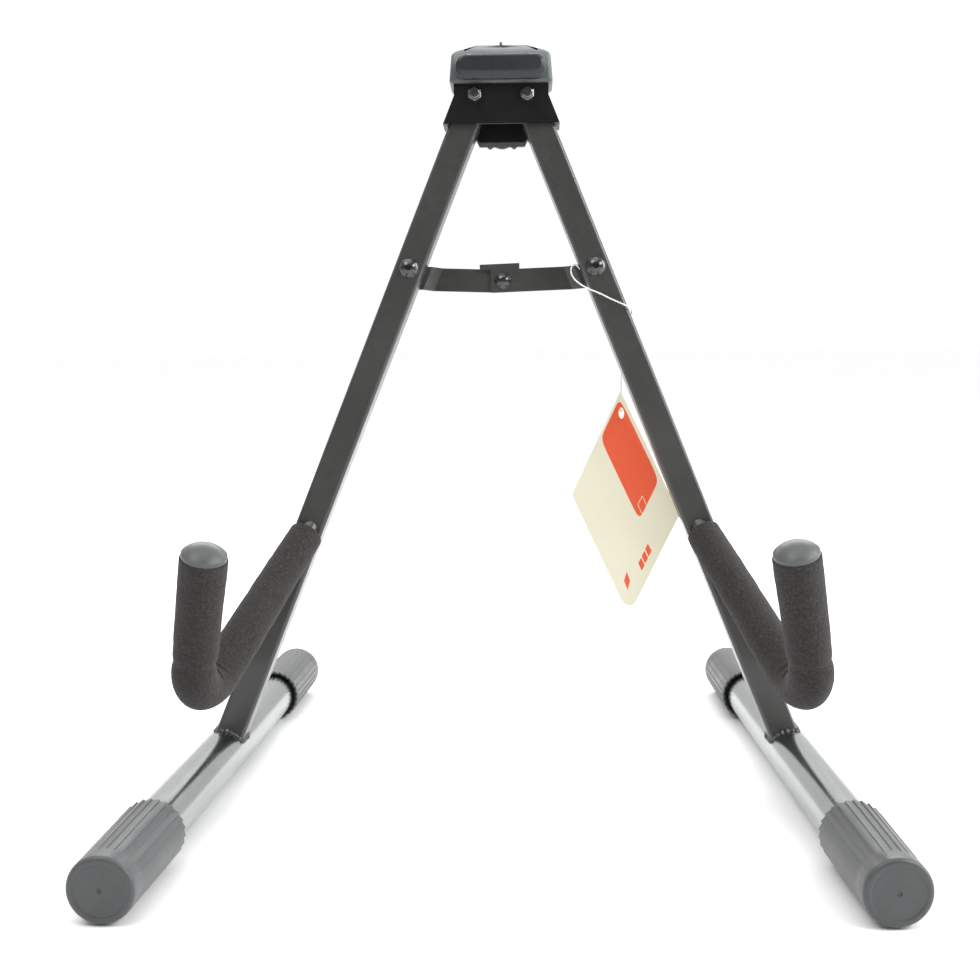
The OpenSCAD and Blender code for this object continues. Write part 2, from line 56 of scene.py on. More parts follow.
# The stand's own sizes, in metres and radians, as its frame has them.
LEAN = math.radians(5)
OPEN = math.radians(21.6)
SPLAY = math.radians(2.6)
PIVOT_X = 14.5 * MM
LEG_LEN = 391.7 * MM
LEG_HALF = 8 * MM
LEG_BACK = 6 * MM
TUBE_R = 12.7 * MM
TUBE_LEN = 386 * MM
TUBE_Z = 15.8 * MM
PIVOT_Z = LEG_LEN * math.cos(OPEN)
FOOT_X = PIVOT_X + LEG_LEN * math.sin(OPEN)
CAP_LEN = 73 * MM
CAP_END = 5 * MM
CAP_ROUND = 2.2 * MM
CAP_RELIEF = 6 * MM
CAP_END_R = TUBE_R + 2.5 * MM
CAP_MOUTH_R = TUBE_R + 3.3 * MM
CAP_BORE = TUBE_R + 0.05 * MM
PLATE_OUT = 10.35 * MM
WASHER_T = 0.8 * MM
ROD_R = 5 * MM
COVER_X = 28.5 * MM
COVER_Y = 12.7 * MM
COVER_LOW = 6.2 * MM
COVER_SHOULDER = 22.8 * MM
HOLLOW_X = 26.2 * MM

LEAN_FRAME = Matrix.Translation((0, LEG_BACK, TUBE_Z)) @ Matrix.Rotation(-LEAN, 4, "X")
HEAD_FRAME = LEAN_FRAME @ Matrix.Translation((0, 0, PIVOT_Z))
LEG_FRAME = HEAD_FRAME @ Matrix.Translation((PIVOT_X, 0, 0)) @ Matrix.Rotation(-OPEN, 4, "Y")
TUBE_FRAME = (
    Matrix.Translation((FOOT_X + LEG_BACK * math.tan(SPLAY), 0, TUBE_Z))
    @ Matrix.Rotation(SPLAY, 4, "Z")
    @ Matrix.Rotation(math.pi / 2, 4, "X")
)
ACROSS = Matrix.Diagonal((-1, 1, 1, 1))

# The camera's place in metres, its pitch, yaw and roll in degrees, and its lens in millimetres.
CAMERA_PLACE = (0.0173, -0.7623, 0.249)
CAMERA_TURNS = (6.384, -1.84, 0.524)
CAMERA_LENS = 51.45

# How bright the surroundings are in front, behind, and where the camera sees them.
FRONT_GLOW, BACK_GLOW, SEEN_GLOW = 0.2, 1.05, 1.02

# The cradle arm: weld on the leg, corner and tip, then the bend between its two straight parts.
ARM_ROOT = LEG_FRAME @ Vector((0, -LEG_HALF, -260 * MM))
ARM_CORNER = ARM_ROOT + Vector((46, -92, -81)) * MM
ARM_TIP = ARM_CORNER + Vector((-16.5, -27, 87)) * MM
BEND_R = 20 * MM
TO_ROOT = (ARM_ROOT - ARM_CORNER).normalized()
TO_TIP = (ARM_TIP - ARM_CORNER).normalized()
HALF_TURN = TO_ROOT.angle(TO_TIP) / 2
BEND_IN = ARM_CORNER + TO_ROOT * (BEND_R / math.tan(HALF_TURN))
BEND_OUT = ARM_CORNER + TO_TIP * (BEND_R / math.tan(HALF_TURN))
BEND_C = ARM_CORNER + (TO_ROOT + TO_TIP).normalized() * (BEND_R / math.sin(HALF_TURN))
BEND_TURN = math.pi - 2 * HALF_TURN

# The string's way: a loop beside the brace, across the leg, round it and down to the tag.
STRING_ROUTE = [
    (43, 27, 284), (41.6, 26, 285.8), (39.6, 24.8, 286.5), (38.2, 23.5, 284.5), (38.2, 22.3, 281.5),
    (39.8, 21.1, 278.5), (43, 20, 275.6), (47.5, 19, 273), (54, 18.3, 270.2), (60, 18.1, 267.2),
    (65.4, 17.5, 264.8), (68.8, 17.9, 263.2), (71.2, 20.2, 261.6), (71.8, 25, 260.2), (71.8, 31, 258.6),
    (71.2, 36.2, 256.6), (70.2, 38.8, 253), (69, 39.4, 248), (68.2, 39.6, 242), (67.6, 39.6, 234),
    (67.2, 39.6, 225), (67, 39.8, 215.5), (66.9, 39.9, 208), (66.9, 40.4, 204.8),
]
TAG_TOP = Vector((66.5, 39, 215.5)) * MM
TAG_LONG = 130 * MM
TAG_SHORT = 64 * MM
TAG_SKEW = 5.9 * MM
TAG_THICK = 0.8 * MM
TAG_HOLE = 12.4 * MM
TAG_TURN = math.radians(20)
TAG_TILT = math.radians(2.3)
TAG_FRAME = Matrix.Translation(TAG_TOP) @ Euler((0, -TAG_TILT, -TAG_TURN)).to_matrix().to_4x4()
TAG_CORNERS = [
    Vector((0, 0)), Vector((-TAG_SHORT / 2, TAG_SKEW - TAG_LONG / 2)),
    Vector((0, -TAG_LONG)), Vector((TAG_SHORT / 2, -TAG_SKEW - TAG_LONG / 2)),
]


# ---------------------------------------------------------------- modelling helpers


def deselect():
    if bpy.context.object and bpy.context.object.mode != "OBJECT":
        bpy.ops.object.mode_set(mode="OBJECT")
    bpy.ops.object.select_all(action="DESELECT")


def choose(piece):
    deselect()
    piece.select_set(True)
    bpy.context.view_layer.objects.active = piece
    return piece


def settle(piece, place=None):
    """Puts a piece modelled in its own frame into its place, and leaves its object at the origin."""
    choose(piece)
    if place is not None:
        piece.matrix_world = place @ piece.matrix_world
    bpy.ops.object.transform_apply(location=True, rotation=True, scale=True)
    return piece


def outward(piece):
    choose(piece)
    bpy.ops.object.mode_set(mode="EDIT")
    bpy.ops.mesh.select_all(action="SELECT")
    bpy.ops.mesh.remove_doubles(threshold=1e-6)
    bpy.ops.mesh.normals_make_consistent(inside=False)
    bpy.ops.object.mode_set(mode="OBJECT")
    return piece


def smooth(piece, degrees=35):
    choose(piece)
    bpy.ops.object.shade_smooth_by_angle(angle=math.radians(degrees))
    return piece


def select_where(piece, test):
    """In edit mode, selects the vertices that pass the test and what lies between them."""
    mesh = bmesh.from_edit_mesh(piece.data)
    for face in mesh.faces:
        face.select = False
    for edge in mesh.edges:
        edge.select = False
    for vert in mesh.verts:
        vert.select = bool(test(vert.co))
    mesh.select_flush(True)
    bmesh.update_edit_mesh(piece.data)


def modify(piece, kind, **settings):
    choose(piece)
    modifier = piece.modifiers.new(kind.lower(), kind)
    for key, value in settings.items():
        setattr(modifier, key, value)
    bpy.ops.object.modifier_apply(modifier=modifier.name)
    return piece


def cut_away(piece, cutter):
    modify(piece, "BOOLEAN", operation="DIFFERENCE", solver="EXACT", object=cutter)
    bpy.data.objects.remove(cutter, do_unlink=True)
    return piece


def drawn_out(name, rings, sides, place=None):
    """A round piece made by drawing a disc out ring by ring: each ring is a radius and a height."""
    deselect()
    radius, height = rings[0]
    bpy.ops.mesh.primitive_circle_add(vertices=sides, radius=radius, fill_type="NGON", location=(0, 0, height))
    piece = bpy.context.object
    piece.name = piece.data.name = name
    bpy.ops.object.transform_apply(location=True, rotation=True, scale=True)
    bpy.ops.object.mode_set(mode="EDIT")
    bpy.ops.mesh.select_all(action="SELECT")
    for r, z in rings[1:]:
        bpy.ops.mesh.extrude_region_move(TRANSFORM_OT_translate={"value": (0, 0, z - height)})
        if abs(r - radius) > 1e-9:
            k = r / radius
            bpy.ops.transform.resize(value=(k, k, 1), center_override=(0, 0, z))
        radius, height = r, z
    bpy.ops.object.mode_set(mode="OBJECT")
    return settle(outward(piece), place)


def twin(piece, name, place=ACROSS):
    """A copy with its own mesh, put across the stand's middle or to another place."""
    deselect()
    copy = piece.copy()
    copy.data = piece.data.copy()
    copy.name = copy.data.name = name
    bpy.context.collection.objects.link(copy)
    return outward(settle(copy, place))


def rounded_block(name, size, centre, width, segments=4):
    """A block with all its edges rolled over."""
    deselect()
    bpy.ops.mesh.primitive_cube_add(size=1, location=centre)
    piece = bpy.context.object
    piece.name = piece.data.name = name
    piece.scale = size
    bpy.ops.object.transform_apply(location=True, rotation=True, scale=True)
    if width:
        modify(piece, "BEVEL", width=width, segments=segments, limit_method="NONE")
    return piece


def swept(name, points, radii, sides, closed=False, shape=None, ways=None):
    """A tube through points. closed joins its last ring to its first; shape may move a ring's points;
    ways gives each ring's direction where the points turn back on themselves."""
    n = len(points)
    mesh = bpy.data.meshes.new(name)
    verts, faces, uvs = [], [], []
    side = None
    run = 0.0
    for i, p in enumerate(points):
        before = points[(i - 1) % n] if closed else points[max(i - 1, 0)]
        after = points[(i + 1) % n] if closed else points[min(i + 1, n - 1)]
        along = ways[i] if ways else (after - before).normalized()
        if i:
            run += (p - points[i - 1]).length
        if side is None:
            side = along.cross(Vector((0, 0, 1)) if abs(along.z) < 0.9 else Vector((1, 0, 0))).normalized()
        side = (side - along * side.dot(along)).normalized()
        up = along.cross(side)
        for k in range(sides):
            a = 2 * math.pi * k / sides
            out = side * math.cos(a) + up * math.sin(a)
            r = radii[i]
            if shape:
                r += shape(i, run, a, out)
            verts.append(p + out * r)
        uvs.append(run)
    for i in range(n if closed else n - 1):
        j = (i + 1) % n
        for k in range(sides):
            m = (k + 1) % sides
            faces.append((i * sides + k, i * sides + m, j * sides + m, j * sides + k))
    if not closed:
        faces.append(tuple(range(sides - 1, -1, -1)))
        faces.append(tuple((n - 1) * sides + k for k in range(sides)))
    mesh.from_pydata(verts, [], faces)
    layer = mesh.uv_layers.new(name="along")
    for face in mesh.polygons:
        for corner in face.loop_indices:
            v = mesh.loops[corner].vertex_index
            layer.data[corner].uv = ((v % sides) / sides, uvs[v // sides] / MM)
    piece = bpy.data.objects.new(name, mesh)
    bpy.context.collection.objects.link(piece)
    choose(piece)
    bpy.ops.object.mode_set(mode="EDIT")
    bpy.ops.mesh.select_all(action="SELECT")
    bpy.ops.mesh.normals_make_consistent(inside=False)
    bpy.ops.object.mode_set(mode="OBJECT")
    return piece


def eased(points, steps):
    """More points along a smooth curve through the given ones."""
    out = []
    for i in range(len(points) - 1):
        a, b = points[max(i - 1, 0)], points[i]
        c, d = points[i + 1], points[min(i + 2, len(points) - 1)]
        for s in range(steps):
            t = s / steps
            out.append(
                0.5 * ((2 * b) + (c - a) * t + (2 * a - 5 * b + 4 * c - d) * t * t + (3 * b - a - 3 * c + d) * t**3)
            )
    out.append(points[-1])
    return out


# ---------------------------------------------------------------- finishes


class Finish:
    """Builds one material, node by node."""

    def __init__(self, name):
        self.material = bpy.data.materials.new(name)
        self.material.use_nodes = True
        self.nodes = self.material.node_tree.nodes
        self.links = self.material.node_tree.links
        self.nodes.clear()
        self.surface = self.add("ShaderNodeBsdfPrincipled")
        output = self.add("ShaderNodeOutputMaterial")
        self.links.new(self.surface.outputs["BSDF"], output.inputs["Surface"])
        self.where = self.add("ShaderNodeTexCoord").outputs["Object"]

    def add(self, kind, **settings):
        node = self.nodes.new(kind)
        for key, value in settings.items():
            setattr(node, key, value)
        return node

    def set(self, node, **values):
        for key, value in values.items():
            socket = node.inputs[key.replace("_", " ")]
            if isinstance(value, bpy.types.NodeSocket):
                self.links.new(value, socket)
            else:
                socket.default_value = value
        return node

    def shader(self, **values):
        self.set(self.surface, **values)

    def placed(self, location=(0, 0, 0), rotation=(0, 0, 0), scale=(1, 1, 1)):
        node = self.add("ShaderNodeMapping")
        self.set(node, Vector=self.where, Location=location, Rotation=rotation, Scale=scale)
        return node.outputs["Vector"]

    def grain(self, scale, detail=4, roughness=0.6, where=None):
        node = self.add("ShaderNodeTexNoise")
        self.set(node, Vector=where or self.where, Scale=scale, Detail=detail, Roughness=roughness)
        return node.outputs["Fac"]

    def cells(self, scale):
        node = self.add("ShaderNodeTexVoronoi")
        self.set(node, Vector=self.where, Scale=scale)
        return node.outputs["Distance"]

    def ramp(self, factor, stops):
        node = self.add("ShaderNodeValToRGB")
        self.links.new(factor, node.inputs["Fac"])
        elements = node.color_ramp.elements
        while len(elements) < len(stops):
            elements.new(0.5)
        for element, (place, colour) in zip(elements, stops):
            element.position = place
            element.color = (*colour, 1) if len(colour) == 3 else colour
        return node.outputs["Color"]

    def spread(self, factor, low, high, start=0.0, end=1.0):
        node = self.add("ShaderNodeMapRange")
        self.set(node, Value=factor, From_Min=start, From_Max=end, To_Min=low, To_Max=high)
        return node.outputs["Result"]

    def math(self, operation, a, b=0.0, clamp=False):
        node = self.add("ShaderNodeMath", operation=operation, use_clamp=clamp)
        for socket, value in zip(node.inputs, (a, b)):
            if isinstance(value, bpy.types.NodeSocket):
                self.links.new(value, socket)
            else:
                socket.default_value = value
        return node.outputs[0]

    def mixed(self, factor, a, b):
        node = self.add("ShaderNodeMix", data_type="RGBA")
        for socket, value in zip((node.inputs[0], node.inputs[6], node.inputs[7]), (factor, a, b)):
            if isinstance(value, bpy.types.NodeSocket):
                self.links.new(value, socket)
            else:
                socket.default_value = value if isinstance(value, float) else (*value[:3], 1)
        return node.outputs[2]

    def dot(self, vector, where=None):
        node = self.add("ShaderNodeVectorMath", operation="DOT_PRODUCT")
        self.links.new(where or self.where, node.inputs[0])
        node.inputs[1].default_value = vector
        return node.outputs["Value"]

    def relief(self, height, strength=0.3, depth=0.0002):
        node = self.add("ShaderNodeBump")
        self.set(node, Height=height, Strength=strength, Distance=depth)
        self.links.new(node.outputs["Normal"], self.surface.inputs["Normal"])


def shade(colour, k):
    return tuple(min(1.0, c * k) for c in colour)


def satin_black(name, colour, roughness, gleam=0.5):
    f = Finish(name)
    blotch, peel, dust_and_top_light = f.grain(14, 3), f.grain(900, 3, 0.5), f.grain(160, 6, 0.75)
    f.shader(
        Base_Color=f.ramp(blotch, [(0.3, shade(colour, 0.82)), (0.7, shade(colour, 1.15))]),
        Roughness=f.spread(dust_and_top_light, roughness - 0.07, roughness + 0.12, 0.3, 0.75),
        Specular_IOR_Level=gleam,
        Coat_Weight=0.7 * gleam,
        Coat_Roughness=0.16,
    )
    f.relief(f.math("ADD", peel, f.math("MULTIPLY", dust_and_top_light, 0.4)), 0.3, 0.0001)
    return f.material


def bright_tube(name, colour, roughness):
    """Plated tube with faint draw marks along it and soft blotches of haze."""
    f = Finish(name)
    drawn = f.placed(scale=(900, 9, 900))
    marks, haze, pits = f.grain(1, 2, 0.6, drawn), f.grain(22, 4), f.cells(260)
    f.shader(
        Base_Color=f.mixed(f.spread(haze, 0.0, 1.0, 0.35, 0.7), shade(colour, 0.93), shade(colour, 1.04)),
        Metallic=1.0,
        Roughness=f.math("ADD", f.spread(marks, roughness, roughness + 0.08, 0.3, 0.7), f.spread(haze, 0.0, 0.06)),
    )
    f.relief(f.math("ADD", marks, f.spread(pits, 0.0, 0.6, 0.0, 0.25)), 0.12, 0.00005)
    return f.material


# Pale grey of the painted light on faces that point up.
TOP_LIGHT_GREY = (0.5, 0.53, 0.53)


def moulded_rubber(name, colour, roughness, bloom=0.5, dust_and_top_light=0.0):
    """Moulded rubber: fine mould texture, a grey bloom, a few specks, and painted light on what faces up."""
    f = Finish(name)
    fine, cloud, speck = f.grain(1400, 3, 0.6), f.grain(38, 5, 0.65), f.cells(420)
    pale = f.spread(speck, 1.0, 0.0, 0.02, 0.1)
    dark, light = shade(colour, 1 - 0.22 * bloom), shade(colour, 1 + 0.3 * bloom)
    base = f.mixed(f.spread(cloud, 0.0, 1.0, 0.35, 0.7), dark, light)
    base = f.mixed(f.math("MULTIPLY", pale, 0.25), base, shade(colour, 1.9))
    # Painted light: faces that point up are mixed, in patches, towards a pale grey as if lit from above.
    if dust_and_top_light:
        upward = f.dot((0, 0, 1), f.add("ShaderNodeNewGeometry").outputs["Normal"])
        painted_top_light = f.math("MULTIPLY", f.spread(upward, 0.0, dust_and_top_light, 0.18, 0.6), f.spread(cloud, 0.8, 1.0, 0.3, 0.7))
        base = f.mixed(painted_top_light, base, TOP_LIGHT_GREY)
    f.shader(
        Base_Color=base,
        Specular_IOR_Level=0.4,
        Roughness=f.spread(cloud, roughness - 0.08, roughness + 0.1, 0.3, 0.7),
        Sheen_Weight=0.06,
        Sheen_Roughness=0.5,
    )
    f.relief(fine, 0.3, 0.00012)
    return f.material


def cell_foam(name, colour):
    """Closed-cell foam: tiny open pores, pale flecks and a dry, soft surface."""
    f = Finish(name)
    pores, crumb, tone = f.cells(900), f.grain(700, 5, 0.75), f.grain(40, 4)
    speckle = f.ramp(crumb, [(0.36, shade(colour, 0.55)), (0.52, colour), (0.7, shade(colour, 1.9))])
    f.shader(
        Base_Color=f.mixed(f.spread(tone, 0.0, 0.45, 0.3, 0.7), speckle, shade(colour, 1.25)),
        Roughness=0.92,
        Specular_IOR_Level=0.2,
        Sheen_Weight=0.06,
        Sheen_Roughness=0.6,
    )
    f.relief(f.math("ADD", pores, f.math("MULTIPLY", crumb, 0.9)), 0.75, 0.0003)
    return f.material


def matte_plastic(name, colour):
    f = Finish(name)
    fine, tone = f.grain(1100, 3, 0.6), f.grain(60, 3)
    f.shader(
        Base_Color=f.ramp(tone, [(0.3, shade(colour, 0.85)), (0.7, shade(colour, 1.15))]),
        Roughness=f.spread(fine, 0.36, 0.48, 0.3, 0.7),
    )
    f.relief(fine, 0.2, 0.00008)
    return f.material


def plated_steel(name, colour, roughness, threaded=False):
    """Zinc plating: cloudy, lightly scratched, with a thread's ridges on a bolt's shank."""
    f = Finish(name)
    cloud, scratch = f.grain(240, 4), f.grain(1, 2, 0.5, f.placed(scale=(1500, 300, 1500)))
    f.shader(
        Base_Color=f.ramp(cloud, [(0.35, shade(colour, 0.75)), (0.65, shade(colour, 1.15))]),
        Metallic=1.0,
        Roughness=f.spread(scratch, roughness - 0.08, roughness + 0.12, 0.3, 0.7),
    )
    height = scratch
    if threaded:
        along = f.dot((0, -math.cos(LEAN), math.sin(LEAN)))
        ridge = f.math("PINGPONG", along, 0.4 * MM)
        height = f.math("ADD", f.math("MULTIPLY", ridge, 1 / (0.4 * MM)), f.math("MULTIPLY", scratch, 0.1))
    f.relief(height, 0.6 if threaded else 0.15, 0.0004 if threaded else 0.00006)
    return f.material


def card(name, cream, orange):
    """Uncoated card printed with plain shapes: one large slanted patch, three short bars and a small diamond."""
    f = Finish(name)
    flat = f.placed(location=tuple(TAG_TOP), rotation=(0, -TAG_TILT, -TAG_TURN))
    f.nodes[-1].vector_type = "TEXTURE"
    right = (TAG_CORNERS[0] - TAG_CORNERS[1]).normalized()
    left = (TAG_CORNERS[0] - TAG_CORNERS[3]).normalized()

    def slanted(centre, along_right, along_left, power):
        """1 inside a parallelogram whose sides run along the card's own edges."""
        total = None
        det = right.x * left.y - right.y * left.x
        for (a, b), half in (((left.y, -left.x), along_right), ((-right.y, right.x), along_left)):
            vector = (a / det / half, 0, b / det / half)
            offset = vector[0] * centre[0] + vector[2] * centre[1]
            share = f.math("ABSOLUTE", f.math("SUBTRACT", f.dot(vector, flat), offset))
            share = f.math("POWER", share, power)
            total = share if total is None else f.math("ADD", total, share)
        return f.spread(total, 1.0, 0.0, 0.97, 1.03)

    marks = slanted((3.9 * MM, -38.9 * MM), 13.1 * MM, 25.9 * MM, 9.0)
    frame_out = slanted((11.3 * MM, -67.1 * MM), 3.1 * MM, 5.2 * MM, 14.0)
    frame_in = slanted((11.3 * MM, -67.1 * MM), 2.7 * MM, 4.8 * MM, 14.0)
    marks = f.math("SUBTRACT", marks, f.math("SUBTRACT", frame_out, frame_in), True)
    for centre in ((8.7 * MM, -99.4 * MM), (10.9 * MM, -95.3 * MM), (13.1 * MM, -91.2 * MM)):
        marks = f.math("MAXIMUM", marks, slanted(centre, 1.9 * MM, 2.4 * MM, 10.0))
    across = f.math("ABSOLUTE", f.math("ADD", f.dot((1 / (1.8 * MM), 0, 0), flat), 0.2 / 1.8))
    upright = f.math("ABSOLUTE", f.math("ADD", f.dot((0, 0, 1 / (5.4 * MM)), flat), 109.2 / 5.4))
    marks = f.math("MAXIMUM", marks, f.spread(f.math("ADD", across, upright), 1.0, 0.0, 0.95, 1.05))
    fibre, tone = f.grain(1, 4, 0.7, f.placed(scale=(900, 900, 300))), f.grain(30, 3)
    base = f.mixed(f.spread(tone, 0.0, 1.0, 0.3, 0.7), shade(cream, 0.97), cream)
    ink = f.mixed(f.spread(fibre, 0.0, 1.0, 0.3, 0.8), shade(orange, 0.95), shade(orange, 1.05))
    f.shader(Base_Color=f.mixed(marks, base, ink), Roughness=f.spread(fibre, 0.6, 0.8), Sheen_Weight=0.05)
    f.relief(fibre, 0.25, 0.0001)
    return f.material


def twisted_string(name, colour):
    """White string: two plies that turn round each other, with fine fibres and painted shade in the grooves between
    the plies.
    """
    f = Finish(name)
    along = f.add("ShaderNodeUVMap", uv_map="along").outputs["UV"]
    ply = f.add("ShaderNodeTexWave", wave_type="BANDS", bands_direction="DIAGONAL", wave_profile="SIN")
    placed = f.add("ShaderNodeMapping")
    f.set(placed, Vector=along, Scale=(2.0, 0.9, 1))
    f.set(ply, Vector=placed.outputs["Vector"], Scale=1.0)
    fibre = f.grain(5000, 3, 0.7)
    # Painted shade: the grooves between the plies are darkened to 0.78 of the white.
    f.shader(
        Base_Color=f.mixed(ply.outputs["Fac"], shade(colour, 0.78), colour),
        Roughness=0.85,
        Sheen_Weight=0.3,
    )
    f.relief(f.math("ADD", ply.outputs["Fac"], f.math("MULTIPLY", fibre, 0.4)), 0.6, 0.0002)
    return f.material


def plain_floor(name, colour):
    f = Finish(name)
    f.shader(Base_Color=f.ramp(f.grain(2, 2), [(0.3, shade(colour, 0.995)), (0.7, colour)]), Roughness=0.7)
    return f.material


MATERIALS = {}


def finish_of(slot):
    """The material of one of the record's slots, made once."""
    if slot not in MATERIALS:
        sizes = bpy.context.scene.stand_finish
        makers = {
            "black_paint": lambda: satin_black("satin_black_paint", sizes.paint, sizes.paint_roughness),
            # Painted shade: the head bracket wears the legs' paint darkened to a fifth, with a weaker gleam.
            "shaded_bracket_paint": lambda: satin_black("head_black_paint", shade(sizes.paint, 0.2), 0.42, 0.18),
            "black_steel": lambda: satin_black("blackened_steel", shade(sizes.paint, 0.3), 0.2, 0.7),
            "bright_tube": lambda: bright_tube("bright_plated_tube", sizes.tube, sizes.tube_roughness),
            "cap_rubber": lambda: moulded_rubber("end_cap_rubber", sizes.cap_rubber, 0.4),
            # The saddle rubber carries painted light on its up-facing faces.
            "grey_rubber": lambda: moulded_rubber("saddle_rubber", sizes.saddle_rubber, 0.36, 0.5, 0.5),
            "dark_rubber": lambda: moulded_rubber("bumper_rubber", sizes.bumper_rubber, 0.3, 0.25),
            "black_foam": lambda: cell_foam("cradle_foam", sizes.foam),
            "grey_plastic": lambda: matte_plastic("tip_cap_plastic", sizes.tip_plastic),
            "zinc_steel": lambda: plated_steel("dark_zinc", (0.16, 0.16, 0.17), 0.25),
            "lock_nut": lambda: plated_steel("lock_nut_zinc", (0.14, 0.14, 0.145), 0.14),
            "threaded_steel": lambda: plated_steel("threaded_zinc", (0.1, 0.1, 0.11), 0.32, True),
            "tag_card": lambda: card("tag_card", sizes.card_cream, sizes.card_orange),
            "tag_string": lambda: twisted_string("tag_string", (0.93, 0.93, 0.91)),
        }
        MATERIALS[slot] = makers[slot]()
    return MATERIALS[slot]


def dress(piece, slot):
    piece.data.materials.clear()
    piece.data.materials.append(finish_of(slot))
    return piece


# ---------------------------------------------------------------- sizes and colours


class StandSizes(bpy.types.PropertyGroup):
    string_d: FloatProperty(
        name="String diameter", description="Diameter of the tag's string",
        default=0.0008, min=0.0004, max=0.002, unit="LENGTH",
    )
    flute_count: IntProperty(
        name="Cap flutes", description="Flutes round an end cap",
        default=26, min=12, max=40,
    )
    flute_depth: FloatProperty(
        name="Flute depth", description="Depth of a flute at the mouth of an end cap",
        default=0.0009, min=0.0002, max=0.002, unit="LENGTH",
    )
    foam_root_r: FloatProperty(
        name="Foam radius at the leg", description="Foam radius where the sleeve leaves the leg",
        default=0.0094, unit="LENGTH",
    )
    foam_bend_r: FloatProperty(
        name="Foam radius at the bend", description="Foam radius round the arm's bend",
        default=0.011, unit="LENGTH",
    )
    foam_tip_r: FloatProperty(
        name="Foam radius at the tip", description="Foam radius at the arm's tip",
        default=0.0117, unit="LENGTH",
    )
    weld_r: FloatProperty(
        name="Weld bead radius", description="Radius of the weld bead between leg and base tube",
        default=0.0017, unit="LENGTH",
    )


class StandFinish(bpy.types.PropertyGroup):
    paint: FloatVectorProperty(
        name="Paint", description="Satin black of the legs and links",
        default=(0.038, 0.0375, 0.036), subtype="COLOR", min=0, max=1,
    )
    paint_roughness: FloatProperty(
        name="Paint roughness", description="Roughness of the satin black",
        default=0.36, min=0.1, max=0.9,
    )
    tube: FloatVectorProperty(
        name="Tube plating", description="Plating of the base tubes",
        default=(0.32, 0.335, 0.335), subtype="COLOR", min=0, max=1,
    )
    tube_roughness: FloatProperty(
        name="Tube roughness", description="Roughness of the plating",
        default=0.14, min=0.02, max=0.6,
    )
    cap_rubber: FloatVectorProperty(
        name="Cap rubber", description="Rubber of the end caps",
        default=(0.068, 0.071, 0.073), subtype="COLOR", min=0, max=1,
    )
    saddle_rubber: FloatVectorProperty(
        name="Saddle rubber", description="Rubber of the saddle cover",
        default=(0.078, 0.09, 0.093), subtype="COLOR", min=0, max=1,
    )
    bumper_rubber: FloatVectorProperty(
        name="Bumper rubber", description="Rubber of the bumper pad",
        default=(0.02, 0.023, 0.024), subtype="COLOR", min=0, max=1,
    )
    foam: FloatVectorProperty(
        name="Foam", description="Foam of the cradle sleeves",
        default=(0.031, 0.0285, 0.0275), subtype="COLOR", min=0, max=1,
    )
    tip_plastic: FloatVectorProperty(
        name="Tip plastic", description="Plastic of the cradle tip caps",
        default=(0.075, 0.08, 0.08), subtype="COLOR", min=0, max=1,
    )
    card_cream: FloatVectorProperty(
        name="Card", description="Cream of the card",
        default=(0.82, 0.775, 0.6), subtype="COLOR", min=0, max=1,
    )
    card_orange: FloatVectorProperty(
        name="Print", description="Orange of the printed shapes",
        default=(0.82, 0.105, 0.035), subtype="COLOR", min=0, max=1,
    )


# ---------------------------------------------------------------- operators


class STAND_OT_camera(bpy.types.Operator):
    """Sets up the camera, low in front of the stand"""

    bl_idname = "stand.camera"
    bl_label = "Camera"

    def execute(self, context):
        pitch, yaw, roll = (math.radians(turn) for turn in CAMERA_TURNS)
        ahead = Vector((math.sin(yaw) * math.cos(pitch), math.cos(yaw) * math.cos(pitch), -math.sin(pitch)))
        level = Vector((math.cos(yaw), -math.sin(yaw), 0))
        down = ahead.cross(level)
        right = level * math.cos(roll) + down * math.sin(roll)
        below = down * math.cos(roll) - level * math.sin(roll)
        data = bpy.data.cameras.new("camera")
        data.lens, data.sensor_width = CAMERA_LENS, 36
        data.clip_start, data.clip_end = 0.01, 20
        camera = bpy.data.objects.new("camera", data)
        camera.matrix_world = Matrix((right, -below, -ahead)).transposed().to_4x4()
        camera.location = CAMERA_PLACE
        bpy.context.collection.objects.link(camera)
        context.scene.camera = camera
        return {"FINISHED"}


class STAND_OT_string(bpy.types.Operator):
    """Lays the white string from the brace round the right leg and down to the tag"""

    bl_idname = "stand.string"
    bl_label = "Tag String"

    def execute(self, context):
        diameter = context.scene.stand_sizes.string_d
        route = eased([Vector(p) * MM for p in STRING_ROUTE], 6)
        string = swept("string_of_tag", route, [diameter / 2] * len(route), 10)
        dress(smooth(string, 60), "tag_string")
        # A small knot holds the string at the card's hole.
        coil = [
            Vector(STRING_ROUTE[-1]) * MM
            + Vector((math.cos(a) * 0.8, 0.35 * math.sin(2 * a), math.sin(a) * 0.9)) * MM
            for a in [2 * math.pi * i / 28 for i in range(28)]
        ]
        knot = dress(smooth(swept("knot_of_tag", coil, [diameter / 2] * 28, 8, closed=True), 60), "tag_string")
        for piece in (string, knot):
            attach(piece, "right_side")
        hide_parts("tag_string")
        return {"FINISHED"}


